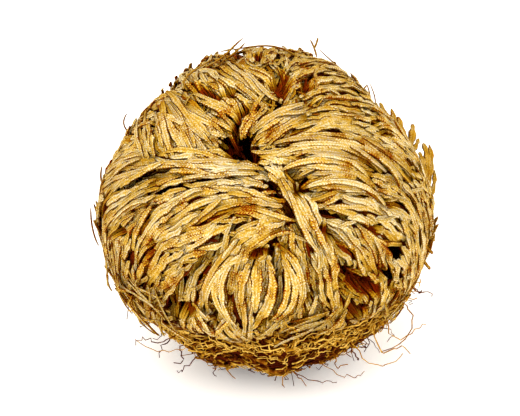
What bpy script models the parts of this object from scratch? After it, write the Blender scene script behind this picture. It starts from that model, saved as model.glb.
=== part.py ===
# A dried rose of Jericho (the resurrection spikemoss): a fist of leafy fronds that rise from one
# crown, wrap round a ball and curl in at its mouth, with a mat of roots below that it rests on.
# Metres, +Z up. The origin is the middle of the small flat spot under the root mat.
# The front of the ball, where its mouth leans, faces -Y. A bearing is counted in degrees from
# there towards +X, and an elevation in degrees above the level of the ball's centre.

import math

import bmesh
import bpy
import numpy as np

BALL_WIDTH = 0.078
BALL_RADIUS = BALL_WIDTH / 2
BALL_SHAPE = np.array([1.0, 0.97, 0.97])  # across, front to back and in height
FLAT_RADIUS = 0.0095  # of the spot that it rests on
CENTRE_HEIGHT = math.sqrt((BALL_RADIUS * BALL_SHAPE[2]) ** 2 - FLAT_RADIUS**2)

LAYER_PITCH = 0.0018  # from one frond to the one under it
BLADE_THICKNESS = 0.0009
BLADE_EDGE = 0.0005
STALK_HALF_WIDTH = 0.0013
TOOTH_SWEEP = 0.0022  # how far a tooth of the margin points to the tip
TOOTH_DEPTH = 0.36  # of the half width
TOOTH_RISE = 0.0001

MOUTH_BEARING, MOUTH_ELEVATION = -17.0, 57.0
MOUTH_SPREAD = 34.0  # degrees from its middle to where the fronds begin to dive
MOUTH_DIP = 0.0060
# The ball is flatter at both shoulders: bearing, elevation, spread and depth of each dent.
DENTS = [
    (119.0, 27.0, 40.0, 0.0034),
    (118.0, 39.0, 24.0, 0.0022),
    (-114.0, 26.0, 40.0, 0.0030),
    (-126.0, 47.0, 18.0, 0.0022),
]

ROOT_BEARING, ROOT_ELEVATION = 15.0, -74.0
CROWN_SPREAD = 29.0  # degrees from the root pole to the crown's side
STALK_START = 29.7
CROWN_INNER_RADIUS = 0.012
MAT_THICKNESS = 0.0042
MAT_RIM_THICKNESS = 0.0020
ROOT_TUCK = MAT_THICKNESS + 0.0006  # how far the fronds lie under the mat
TUCK_RUN = 18.0  # degrees above the mat's rim where they begin to dive under it
TUCK_END = 2.0  # and where they have done so
MAT_SIDES = 30

STRAW = (0.60, 0.40, 0.15, 1.0)
OLD_STRAW = (0.42, 0.24, 0.08, 1.0)
ROOT_BROWN = (0.30, 0.16, 0.05, 1.0)
BARK = (0.16, 0.08, 0.03, 1.0)

# The fronds, from the outside in. Each row has its name, the bearing and elevation that its
# midrib passes at the belly, the shoulder and the tip, and its half width in millimetres.
OUTER_FRONDS = [
    ("frond_strap", (24, -14), (20, 13), (5, 46), 3.1),
    ("frond_front", (-5, -17), (-7, 2), (-3, 22), 8.4),
    ("frond_left_upper", (-96, 0), (-80, 31), (-29, 48), 9.0),
    ("frond_right_upper", (91, 4), (78, 36), (0, 56), 9.0),
    ("frond_back", (174, 6), (174, 56), (-25, 82), 9.0),
    ("frond_back_right", (128, 8), (120, 54), (18, 75), 9.0),
    ("frond_back_left", (-140, 8), (-124, 56), (-58, 70), 9.0),
    ("frond_left_low", (-50, -10), (-36, 15), (1, 33), 9.0),
    ("frond_right_low", (68, -12), (58, 13), (21, 32), 9.0),
    ("frond_right_high", (110, 8), (98, 44), (6, 66), 9.0),
    ("frond_left_high", (-118, 8), (-100, 46), (-38, 61), 9.0),
    ("frond_back_right_high", (151, 8), (153, 56), (-6, 76), 8.6),
    ("frond_back_left_high", (-164, 8), (-158, 56), (-50, 77), 8.6),
    ("frond_left_middle", (-73, -8), (-60, 21), (1, 42), 9.0),
    ("frond_right_middle", (82, -4), (72, 22), (11, 44), 9.0),
    ("frond_front_left", (-29, -14), (-23, 8), (-12, 26), 8.4),
    ("frond_front_right", (44, -16), (36, 6), (21, 25), 8.0),
    ("frond_front_short", (10, -16), (10, 0), (9, 23), 6.8),
    ("frond_left_short", (-62, -20), (-55, -2), (-44, 14), 7.0),
]

# The old fronds are short ones, brown and dry, that show between the stalks of the others.
OLD_BEARINGS = [-118, -84, -46, 18, 54, 94, 130, 174]
OLD_HALF_WIDTH = 6.4

MIDDLE_COUNT = 12
MIDDLE_HALF_WIDTH = 8.2
INNER_COUNT = 7
INNER_HALF_WIDTH = 7.2


def unit(vectors):
    return vectors / np.linalg.norm(vectors, axis=-1, keepdims=True)


def way_of(bearing, elevation):
    """The unit vector from the ball's centre at a bearing and an elevation in degrees."""
    turn, lift = np.radians(bearing), np.radians(elevation)
    return np.stack(
        [np.sin(turn) * np.cos(lift), -np.cos(turn) * np.cos(lift), np.sin(lift)], axis=-1
    )


MOUTH_WAY = way_of(MOUTH_BEARING, MOUTH_ELEVATION)
ROOT_WAY = way_of(ROOT_BEARING, ROOT_ELEVATION)


def smooth(amount):
    """0 below 0, 1 above 1, and an even ease between them."""
    amount = np.clip(amount, 0.0, 1.0)
    return amount * amount * (3 - 2 * amount)


def mat_rim(bearing):
    """The elevation of the root mat's rim, which is higher at the front and ragged."""
    turn = np.radians(bearing)
    front = np.cos(turn - math.radians(ROOT_BEARING))
    ragged = 1.4 * np.sin(5 * turn + 0.6) + 1.0 * np.sin(9 * turn)
    return -36.0 + 15.0 * front + ragged


def ball_point(way, height):
    """A point in metres at a height from the ball's centre: every height dips at the mouth and
    the dents and is tucked under the root mat, so pieces at different heights never meet."""
    from_mouth = np.degrees(np.arccos(np.clip(way @ MOUTH_WAY, -1, 1)))
    bearing = np.degrees(np.arctan2(way[..., 0], -way[..., 1]))
    elevation = np.degrees(np.arcsin(np.clip(way[..., 2], -1, 1)))
    dip = MOUTH_DIP * smooth(1 - from_mouth / MOUTH_SPREAD)
    for dent_bearing, dent_elevation, spread, depth in DENTS:
        from_dent = np.degrees(np.arccos(np.clip(way @ way_of(dent_bearing, dent_elevation), -1, 1)))
        dip = dip + depth * smooth(1 - from_dent / spread)
    above_rim = elevation - mat_rim(bearing)
    tuck = ROOT_TUCK * smooth((TUCK_RUN - above_rim) / (TUCK_RUN - TUCK_END))
    centre = np.array([0.0, 0.0, CENTRE_HEIGHT])
    return centre + way * (height - dip - tuck)[..., None] * BALL_SHAPE


def ring_way(pole, towards, angle):
    """The unit vector at an angle from a pole, on the side that another unit vector is."""
    side = unit(towards - (towards @ pole) * pole)
    return pole * math.cos(math.radians(angle)) + side * math.sin(math.radians(angle))


def midrib_of(belly, shoulder, tip):
    """The midrib as unit vectors close together: the cubic through its four ways, kept on the
    ball, and read at even steps of its length."""
    belly, shoulder, tip = way_of(*belly), way_of(*shoulder), way_of(*tip)
    ends = np.array([ring_way(ROOT_WAY, belly, STALK_START), belly, shoulder, tip])
    steps = np.linalg.norm(np.diff(ends, axis=0), axis=1)
    knots = np.concatenate([[0], np.cumsum(steps)]) / steps.sum()
    at = np.linspace(0, 1, 161)
    curve = np.zeros((len(at), 3))
    for i, knot in enumerate(knots):
        others = [k for j, k in enumerate(knots) if j != i]
        weight = np.prod([(at - k) / (knot - k) for k in others], axis=0)
        curve += weight[:, None] * ends[i]
    curve = unit(curve)
    lengths = np.concatenate([[0], np.cumsum(np.linalg.norm(np.diff(curve, axis=0), axis=1))])
    even = np.linspace(0, lengths[-1], len(at))
    return unit(np.stack([np.interp(even, lengths, curve[:, k]) for k in range(3)], axis=-1))


def frond_way(midrib, along, across):
    """Unit vectors at distances along and across a frond, as parts of the ball's radius.
    Past the tip it goes straight on."""
    tangents = unit(np.gradient(midrib, axis=0))
    step = np.linalg.norm(midrib[1] - midrib[0])
    length = step * (len(midrib) - 1)
    place = np.clip(along, 0, length) / step
    base = unit(np.stack([np.interp(place, range(len(midrib)), midrib[:, k]) for k in range(3)], -1))
    ahead = np.stack([np.interp(place, range(len(midrib)), tangents[:, k]) for k in range(3)], -1)
    ahead = unit(ahead - (ahead * base).sum(-1, keepdims=True) * base)
    past = (along - np.clip(along, 0, length))[..., None]
    base, ahead = base * np.cos(past) + ahead * np.sin(past), ahead * np.cos(past) - base * np.sin(past)
    side = np.cross(base, ahead)
    return base * np.cos(across)[..., None] + side * np.sin(across)[..., None]


def half_width(share, widest):
    """A frond's half width at a share of its length: a stalk, then a blade that tapers."""
    opening = smooth((share - 0.05) / 0.40)
    closing = np.clip(1 - np.abs((share - 0.45) / 0.565) ** 2.4, 0.0, 1.0) ** 0.75
    blade = widest * opening * np.where(share > 0.45, closing, 1.0)
    return np.maximum(blade, STALK_HALF_WIDTH)


def footprint(midrib, widest):
    """The unit vectors that a frond covers, close enough together to find what it crosses."""
    length = np.linalg.norm(midrib[1] - midrib[0]) * (len(midrib) - 1)
    share, across = np.meshgrid(np.linspace(0, 1, 30), np.linspace(-1, 1, 9), indexing="ij")
    along = share * length + TOOTH_SWEEP / BALL_RADIUS * np.abs(across)
    aside = across * half_width(share, widest) / BALL_RADIUS
    return frond_way(midrib, along, aside).reshape(-1, 3)


def depths_of(footprints, reach=0.0021):
    """How deep each frond lies: just under the deepest of those before it that it crosses."""
    depths = []
    for i, mine in enumerate(footprints):
        depth = 0
        for j, other in enumerate(footprints[:i]):
            nearest = np.arccos(np.clip((mine @ other.T).max(), -1, 1)) * BALL_RADIUS
            if nearest < reach:
                depth = max(depth, depths[j] + 1)
        depths.append(depth)
    return depths


def all_fronds():
    """Every frond as (name, midrib, widest half width), from the outside in."""
    rows = list(OUTER_FRONDS)
    for i, bearing in enumerate(OLD_BEARINGS):
        row = ((bearing, -24.0), (bearing + 5.0, -10.0), (bearing + 12.0, 2.0 + 5.0 * (i % 3)))
        rows.append((f"old_frond_{i + 1:02d}", *row, OLD_HALF_WIDTH))
    for i in every_other(MIDDLE_COUNT, 2):
        bearing = -170 + i * 360 / MIDDLE_COUNT
        rows.append(inner_row(f"frond_middle_{i + 1:02d}", bearing, 16 - 5 * (i % 2), MIDDLE_HALF_WIDTH))
    for i in every_other(INNER_COUNT, 2):
        bearing = -150 + i * 360 / INNER_COUNT
        rows.append(inner_row(f"frond_inner_{i + 1:02d}", bearing, 11 - 3 * (i % 2), INNER_HALF_WIDTH))
    return [
        (name, midrib_of(belly, shoulder, tip), width / 1000)
        for name, belly, shoulder, tip, width in rows
    ]


def every_other(count, skip):
    """The numbers below count in the order 0, skip, 2 skip and so on, then 1, 1 + skip..."""
    return [i for start in range(skip) for i in range(start, count, skip)]


def inner_row(name, bearing, tip_angle, width):
    """A frond under the outer ones, which runs straight up the ball to the mouth."""
    tip = ring_way(MOUTH_WAY, way_of(bearing, 0.0), tip_angle)
    tip_bearing = math.degrees(math.atan2(tip[0], -tip[1]))
    tip_elevation = math.degrees(math.asin(tip[2]))
    shoulder = unit(way_of(bearing, 8.0) + tip)
    shoulder_bearing = math.degrees(math.atan2(shoulder[0], -shoulder[1]))
    shoulder_elevation = math.degrees(math.asin(shoulder[2]))
    return (
        name,
        (bearing, -6.0),
        (shoulder_bearing, shoulder_elevation),
        (tip_bearing, tip_elevation),
        width,
    )


def make_material(name, colour, roughness):
    material = bpy.data.materials.new(name)
    material.use_nodes = True
    shader = material.node_tree.nodes["Principled BSDF"]
    shader.inputs["Base Color"].default_value = colour
    shader.inputs["Roughness"].default_value = roughness
    shader.inputs["Metallic"].default_value = 0.0
    return material


def add_object(name, points, faces, material):
    mesh = bpy.data.meshes.new(name)
    mesh.from_pydata([tuple(p) for p in points], [], faces)
    mesh.materials.append(material)
    piece = bpy.data.objects.new(name, mesh)
    bpy.context.scene.collection.objects.link(piece)
    build = bmesh.new()
    build.from_mesh(mesh)
    bmesh.ops.recalc_face_normals(build, faces=build.faces)
    build.to_mesh(mesh)
    build.free()
    mesh.shade_smooth()
    mesh.set_sharp_from_angle(angle=math.radians(50))
    return piece


def add_frond(name, midrib, widest, height, material):
    """A blade with a toothed margin: rings of eight points round it, from the stalk to the tip."""
    length = np.linalg.norm(midrib[1] - midrib[0]) * (len(midrib) - 1)
    rings = int(np.clip(round(length * BALL_RADIUS / 0.0055) + 1, 10, 14))
    step = np.linspace(0, 1, rings) ** 1.15
    share = step - 0.4 * np.sin(2 * math.pi * step) / (2 * math.pi)  # closer at both ends
    tooth = np.where(np.arange(rings) % 2 == 1, 1.0, -1.0) * smooth((share - 0.15) / 0.2)
    wide = half_width(share, widest) * (1 - TOOTH_DEPTH * (1 - tooth) / 2)
    across = np.array([-1.0, -0.45, 0.45, 1.0])
    aside = wide[:, None] * across
    sweep = TOOTH_SWEEP * (tooth * (1 - share))[:, None] * across**2
    way = frond_way(midrib, (share * length)[:, None] + sweep / BALL_RADIUS, aside / BALL_RADIUS)
    middle = height + TOOTH_RISE * tooth[:, None] * np.abs(across)
    thick = BLADE_THICKNESS + (BLADE_EDGE - BLADE_THICKNESS) * across**2
    top = ball_point(way, middle + thick / 2)
    bottom = ball_point(way, middle - thick / 2)
    points = np.concatenate([top, bottom[:, ::-1]], axis=1).reshape(-1, 3)
    ring = 2 * len(across)
    faces = [list(range(ring)), list(range(ring * (rings - 1), ring * rings))]
    for i in range(rings - 1):
        for j in range(ring):
            near, far = i * ring, (i + 1) * ring
            after = (j + 1) % ring
            faces.append((near + j, near + after, far + after, far + j))
    return add_object(name, points, faces, material)


def add_crown(material):
    """The woody crown: a blunt cone round the root pole, whose side the stalks grow from."""
    sides = 20
    spreads = np.array([CROWN_SPREAD * 0.55, CROWN_SPREAD, CROWN_SPREAD, CROWN_SPREAD * 0.92])
    top_height = BALL_RADIUS - MAT_THICKNESS - 0.0006 + ROOT_TUCK
    heights = np.array([CROWN_INNER_RADIUS, 0.0165, top_height * 0.86, top_height])
    turns = np.arange(sides) / sides * 360 - 180
    points = []
    for spread, height in zip(spreads, heights):
        ways = np.array([ring_way(ROOT_WAY, way_of(turn, 0.0), spread) for turn in turns])
        deep = height + (ROOT_TUCK if height < top_height * 0.86 else 0.0)
        points.append(ball_point(ways, np.full(sides, deep)))
    points = np.concatenate(points)
    faces = [list(range(sides)), list(range(3 * sides, 4 * sides))]
    for i in range(3):
        for j in range(sides):
            after = (j + 1) % sides
            faces.append((i * sides + j, i * sides + after, (i + 1) * sides + after, (i + 1) * sides + j))
    return add_object("crown", points, faces, material)


def mat_point(way, height):
    """A point of the root mat, which lies on the ball as it is and is flat on the ground."""
    point = np.array([0.0, 0.0, CENTRE_HEIGHT]) + way * height[..., None] * BALL_SHAPE
    point[..., 2] = np.maximum(point[..., 2], 0.0)
    return point


def add_root_mat(material):
    """The root mat: a ragged bowl under the ball. Its outside is rings from the flat spot up to
    the rim, and its inside follows the fronds above it."""
    turns = np.arange(MAT_SIDES) / MAT_SIDES * 360 - 180
    rims = mat_rim(turns) + np.where(np.arange(MAT_SIDES) % 2 == 0, 1.5, -3.5)
    flat_edge = math.degrees(math.acos(FLAT_RADIUS / (BALL_RADIUS * BALL_SHAPE[0])))
    lumps = 0.0005 * np.sin(np.radians(turns) * 7) + 0.0004 * np.sin(np.radians(turns) * 11 + 1)
    lumps -= 0.0010 * (1 - np.cos(np.radians(turns - 55)))  # thinner at the back left
    rows = []
    for share in (0.0, 0.3, 0.65, 1.0):
        elevation = -flat_edge + share * (rims + flat_edge)
        shrink = (MAT_THICKNESS - MAT_RIM_THICKNESS - 0.0009) * smooth((share - 0.4) / 0.6)
        height = BALL_RADIUS - 0.0004 - shrink + lumps * (share > 0)
        rows.append(mat_point(way_of(turns, elevation), np.broadcast_to(height, turns.shape)))
    for share in (1.0, 0.75, 0.5, 0.25):
        elevation = -flat_edge + share * (rims + flat_edge)
        height = np.full(MAT_SIDES, BALL_RADIUS - MAT_THICKNESS + 0.0005)
        rows.append(mat_point(way_of(turns, elevation), height))
    rows[0][:, 2] = 0.0
    count = len(rows)
    points = np.concatenate(rows)
    floor_middle = len(points)
    inner_middle = floor_middle + 1
    inner_low = CENTRE_HEIGHT - (BALL_RADIUS - MAT_THICKNESS) * BALL_SHAPE[2]
    points = np.concatenate([points, [[0, 0, 0], [0, 0, inner_low]]])
    faces = []
    for j in range(MAT_SIDES):
        after = (j + 1) % MAT_SIDES
        faces.append((floor_middle, after, j))
        for i in range(count - 1):
            near, far = i * MAT_SIDES, (i + 1) * MAT_SIDES
            faces.append((near + j, near + after, far + after, far + j))
        last = (count - 1) * MAT_SIDES
        faces.append((inner_middle, last + j, last + after))
    return add_object("root_mat", points, faces, material)


def main():
    for thing in list(bpy.data.objects):
        bpy.data.objects.remove(thing)
    straw = make_material("straw", STRAW, 0.75)
    old_straw = make_material("old_straw", OLD_STRAW, 0.8)
    roots = make_material("roots", ROOT_BROWN, 0.9)
    bark = make_material("bark", BARK, 0.9)
    fronds = all_fronds()
    depths = depths_of([footprint(midrib, widest) for _, midrib, widest in fronds])
    outermost = BALL_RADIUS - BLADE_THICKNESS / 2
    for (name, midrib, widest), depth in zip(fronds, depths):
        height = outermost - depth * LAYER_PITCH
        material = old_straw if name.startswith("old") else straw
        add_frond(name, midrib, widest, height, material)
    print("frond depths:", dict(zip([name for name, _, _ in fronds], depths)))
    add_crown(bark)
    add_root_mat(roots)


main()
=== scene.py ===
# A dried rose of Jericho: scaly fronds curled up in a ball over a mat of roots.
import math

import bpy
import numpy as np
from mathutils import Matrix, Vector


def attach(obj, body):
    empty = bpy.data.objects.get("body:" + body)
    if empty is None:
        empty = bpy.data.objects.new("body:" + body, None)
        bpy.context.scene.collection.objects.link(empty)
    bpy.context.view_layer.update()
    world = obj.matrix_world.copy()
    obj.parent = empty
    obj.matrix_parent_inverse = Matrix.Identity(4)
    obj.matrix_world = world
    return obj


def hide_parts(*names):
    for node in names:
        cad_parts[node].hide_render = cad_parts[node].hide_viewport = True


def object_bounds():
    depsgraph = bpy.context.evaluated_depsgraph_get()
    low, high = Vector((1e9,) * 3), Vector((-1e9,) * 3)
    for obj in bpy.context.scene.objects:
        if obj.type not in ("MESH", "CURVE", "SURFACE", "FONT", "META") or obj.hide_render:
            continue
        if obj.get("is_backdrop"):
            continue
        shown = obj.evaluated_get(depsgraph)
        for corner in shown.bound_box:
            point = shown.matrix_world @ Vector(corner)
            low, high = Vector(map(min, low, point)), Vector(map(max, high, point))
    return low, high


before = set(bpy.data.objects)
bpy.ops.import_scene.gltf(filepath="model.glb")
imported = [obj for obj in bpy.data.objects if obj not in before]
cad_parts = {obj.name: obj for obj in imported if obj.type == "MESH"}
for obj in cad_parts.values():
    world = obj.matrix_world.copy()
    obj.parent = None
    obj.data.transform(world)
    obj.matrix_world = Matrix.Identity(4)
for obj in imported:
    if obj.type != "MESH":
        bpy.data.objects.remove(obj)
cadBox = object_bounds()
print("frame loaded,", len(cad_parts), "nodes")

studio = {
    "floor": (1.0, 1.0, 1.0),
    "floorGlow": 0.20,  # lightens the shadow
    "floorHalf": 3.0,
    "floorRoughness": 0.9,
    "world": (1.0, 0.94, 0.83),
    "worldStrength": 1.28,
    "lamps": [
        # place, size and power of each soft lamp, which looks at the ball
        ((-0.30, -0.50, 0.85), 0.90, 7.4),
        ((0.60, -0.30, 0.60), 0.80, 2.2),
    ],
    "distance": 0.50,
    "elevation": 30.0,
    "lens": 150.0,
    "aside": -0.00115,
    "raise": 0.0007,
}

# The ball that every piece is laid on. Lengths are in metres and angles in degrees.
# A bearing runs from the front (-Y) towards +X, an elevation up from the ball's centre.
ball = {
    "radius": 0.039,
    "shape": np.array([1.0, 0.97, 0.97]),
    "flatRadius": 0.0095,
    "layerPitch": 0.0018,
    "bladeThickness": 0.0009,
    "toothSweep": 0.0022,
    "mouth": (-17.0, 57.0),
    "mouthSpread": 34.0,
    "mouthDip": 0.0060,
    # bearing, elevation, spread and depth of the flatter places at its shoulders
    "dents": [
        (119.0, 27.0, 40.0, 0.0034),
        (118.0, 39.0, 24.0, 0.0022),
        (-114.0, 26.0, 40.0, 0.0030),
        (-126.0, 47.0, 18.0, 0.0022),
    ],
    "rootPole": (15.0, -74.0),
    "stalkStart": 29.7,
    "matThickness": 0.0042,
    # degrees above the mat's rim where the branchlets begin and end to dive into it: later than
    # their solids do, since roots fill the waist between
    "tuckRun": 7.0,
    "tuckEnd": -9.0,
    "stalkHalfWidth": 0.0013,
}
ball["centre"] = np.array(
    [0.0, 0.0, math.sqrt((ball["radius"] * ball["shape"][2]) ** 2 - ball["flatRadius"] ** 2)]
)

# Name, then bearing and elevation of the belly, the shoulder and the tip, then half width in mm.
outerFronds = [
    ("frond_strap", (24, -14), (20, 13), (5, 46), 3.1),
    ("frond_front", (-5, -17), (-7, 2), (-3, 22), 8.4),
    ("frond_left_upper", (-96, 0), (-80, 31), (-29, 48), 9.0),
    ("frond_right_upper", (91, 4), (78, 36), (0, 56), 9.0),
    ("frond_back", (174, 6), (174, 56), (-25, 82), 9.0),
    ("frond_back_right", (128, 8), (120, 54), (18, 75), 9.0),
    ("frond_back_left", (-140, 8), (-124, 56), (-58, 70), 9.0),
    ("frond_left_low", (-50, -10), (-36, 15), (1, 33), 9.0),
    ("frond_right_low", (68, -12), (58, 13), (21, 32), 9.0),
    ("frond_right_high", (110, 8), (98, 44), (6, 66), 9.0),
    ("frond_left_high", (-118, 8), (-100, 46), (-38, 61), 9.0),
    ("frond_back_right_high", (151, 8), (153, 56), (-6, 76), 8.6),
    ("frond_back_left_high", (-164, 8), (-158, 56), (-50, 77), 8.6),
    ("frond_left_middle", (-73, -8), (-60, 21), (1, 42), 9.0),
    ("frond_right_middle", (82, -4), (72, 22), (11, 44), 9.0),
    ("frond_front_left", (-29, -14), (-23, 8), (-12, 26), 8.4),
    ("frond_front_right", (44, -16), (36, 6), (21, 25), 8.0),
    ("frond_front_short", (10, -16), (10, 0), (9, 23), 6.8),
    ("frond_left_short", (-62, -20), (-55, -2), (-44, 14), 7.0),
]
innerFronds = {
    "oldBearings": [-118, -84, -46, 18, 54, 94, 130, 174],
    "oldHalfWidth": 6.4,
    "middleCount": 12,
    "middleHalfWidth": 8.2,
    "innerCount": 7,
    "innerHalfWidth": 7.2,
}


# upwards in the picture, and out of it to the viewer
sight = math.radians(studio["elevation"])
faceUp = np.array([0.0, math.sin(sight), math.cos(sight)])
faceOut = np.array([0.0, -math.cos(sight), math.sin(sight)])


def unit(vectors):
    return vectors / np.linalg.norm(vectors, axis=-1, keepdims=True)


def wayOf(bearing, elevation):
    # unit vector = (sin b cos e, -cos b cos e, sin e)
    turn, lift = np.radians(bearing), np.radians(elevation)
    return np.stack([np.sin(turn) * np.cos(lift), -np.cos(turn) * np.cos(lift), np.sin(lift)], -1)


mouthWay = wayOf(*ball["mouth"])
rootWay = wayOf(*ball["rootPole"])


def smooth(amount):
    amount = np.clip(amount, 0.0, 1.0)
    return amount * amount * (3 - 2 * amount)


def runningSum(steps):
    # along the last axis, from nothing
    return np.concatenate([np.zeros((*steps.shape[:-1], 1)), np.cumsum(steps, -1)], -1)


def bearingOf(way):
    return np.degrees(np.arctan2(way[..., 0], -way[..., 1]))


def elevationOf(way):
    return np.degrees(np.arcsin(np.clip(way[..., 2], -1, 1)))


def matRim(bearing):
    # elevation of the mat's ragged rim, highest at the front
    turn = np.radians(bearing)
    front = np.cos(turn - math.radians(ball["rootPole"][0]))
    return -36.0 + 15.0 * front + 1.4 * np.sin(5 * turn + 0.6) + 1.0 * np.sin(9 * turn)


def dipOf(way):
    # how far the ball is dented at its mouth and its shoulders
    dip = 0.0
    mouth = (*ball["mouth"], ball["mouthSpread"], ball["mouthDip"])
    for bearing, elevation, spread, depth in [mouth, *ball["dents"]]:
        apart = np.degrees(np.arccos(np.clip(way @ wayOf(bearing, elevation), -1, 1)))
        dip = dip + depth * smooth(1 - apart / spread)
    return dip


def tuckOf(aboveRim):
    # how far a frond lies under the mat, from the degrees that it is above the mat's rim
    run = ball["tuckRun"] - ball["tuckEnd"]
    return (ball["matThickness"] + 0.0006) * smooth((ball["tuckRun"] - aboveRim) / run)


def ballPoint(way, height):
    # centre + shape * way * (height - dip - tuck)
    tuck = tuckOf(elevationOf(way) - matRim(bearingOf(way)))
    return ball["centre"] + way * (height - dipOf(way) - tuck)[..., None] * ball["shape"]


def ringWay(pole, towards, angle):
    # the way at an angle from a pole, on the side of another way
    side = unit(towards - (towards @ pole) * pole)
    return pole * math.cos(math.radians(angle)) + side * math.sin(math.radians(angle))


def midribOf(belly, shoulder, tip):
    # cubic through the stalk, belly, shoulder and tip, kept on the ball, at even steps
    belly, shoulder, tip = wayOf(*belly), wayOf(*shoulder), wayOf(*tip)
    ends = np.array([ringWay(rootWay, belly, ball["stalkStart"]), belly, shoulder, tip])
    steps = np.linalg.norm(np.diff(ends, axis=0), axis=1)
    knots = runningSum(steps) / steps.sum()
    at = np.linspace(0, 1, 161)
    curve = np.zeros((len(at), 3))
    for i, knot in enumerate(knots):
        others = [k for j, k in enumerate(knots) if j != i]
        curve += np.prod([(at - k) / (knot - k) for k in others], axis=0)[:, None] * ends[i]
    curve = unit(curve)
    lengths = runningSum(np.linalg.norm(np.diff(curve, axis=0), axis=1))
    even = np.linspace(0, lengths[-1], len(at))
    return unit(np.stack([np.interp(even, lengths, curve[:, k]) for k in range(3)], axis=-1))


def frondWay(midrib, along, across):
    # from the midrib's way at a distance along it, turned aside by the distance across it
    tangents = unit(np.gradient(midrib, axis=0))
    step = np.linalg.norm(midrib[1] - midrib[0])
    length = step * (len(midrib) - 1)
    place = np.clip(along, 0, length) / step
    spots = np.arange(len(midrib))
    base = unit(np.stack([np.interp(place, spots, midrib[:, k]) for k in range(3)], -1))
    ahead = np.stack([np.interp(place, spots, tangents[:, k]) for k in range(3)], -1)
    ahead = unit(ahead - (ahead * base).sum(-1, keepdims=True) * base)
    past = (along - np.clip(along, 0, length))[..., None]
    on = base * np.cos(past) + ahead * np.sin(past)
    side = np.cross(on, ahead * np.cos(past) - base * np.sin(past))
    return on * np.cos(across)[..., None] + side * np.sin(across)[..., None]


def halfWidth(share, widest):
    # a stalk that opens into a blade and closes in a blunt tip
    opening = smooth((share - 0.05) / 0.40)
    closing = np.clip(1 - np.abs((share - 0.45) / 0.565) ** 2.4, 0.0, 1.0) ** 0.75
    return np.maximum(widest * opening * np.where(share > 0.45, closing, 1.0), ball["stalkHalfWidth"])


def footprint(midrib, widest):
    length = np.linalg.norm(midrib[1] - midrib[0]) * (len(midrib) - 1)
    share, across = np.meshgrid(np.linspace(0, 1, 30), np.linspace(-1, 1, 9), indexing="ij")
    along = share * length + ball["toothSweep"] / ball["radius"] * np.abs(across)
    return frondWay(midrib, along, across * halfWidth(share, widest) / ball["radius"]).reshape(-1, 3)


def depthsOf(footprints, reach=0.0021):
    # a frond lies just under the deepest of the earlier ones that it crosses
    depths = []
    for i, mine in enumerate(footprints):
        depth = 0
        for j, other in enumerate(footprints[:i]):
            if np.arccos(np.clip((mine @ other.T).max(), -1, 1)) * ball["radius"] < reach:
                depth = max(depth, depths[j] + 1)
        depths.append(depth)
    return depths


def innerRow(name, bearing, tipAngle, width):
    tip = ringWay(mouthWay, wayOf(bearing, 0.0), tipAngle)
    shoulder = unit(wayOf(bearing, 8.0) + tip)
    return (
        name,
        (bearing, -6.0),
        (bearingOf(shoulder), elevationOf(shoulder)),
        (bearingOf(tip), elevationOf(tip)),
        width,
    )


def allFronds():
    rows = list(outerFronds)
    for i, bearing in enumerate(innerFronds["oldBearings"]):
        row = ((bearing, -24.0), (bearing + 5.0, -10.0), (bearing + 12.0, 2.0 + 5.0 * (i % 3)))
        rows.append((f"old_frond_{i + 1:02d}", *row, innerFronds["oldHalfWidth"]))
    count = innerFronds["middleCount"]
    for i in [*range(0, count, 2), *range(1, count, 2)]:
        name, bearing = f"frond_middle_{i + 1:02d}", -170 + i * 360 / count
        rows.append(innerRow(name, bearing, 16 - 5 * (i % 2), innerFronds["middleHalfWidth"]))
    count = innerFronds["innerCount"]
    for i in [*range(0, count, 2), *range(1, count, 2)]:
        name, bearing = f"frond_inner_{i + 1:02d}", -150 + i * 360 / count
        rows.append(innerRow(name, bearing, 11 - 3 * (i % 2), innerFronds["innerHalfWidth"]))
    fronds = [(row[0], midribOf(*row[1:4]), row[4] / 1000) for row in rows]
    depths = depthsOf([footprint(midrib, widest) for _, midrib, widest in fronds])
    return [(*frond, depth) for frond, depth in zip(fronds, depths)]


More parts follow.
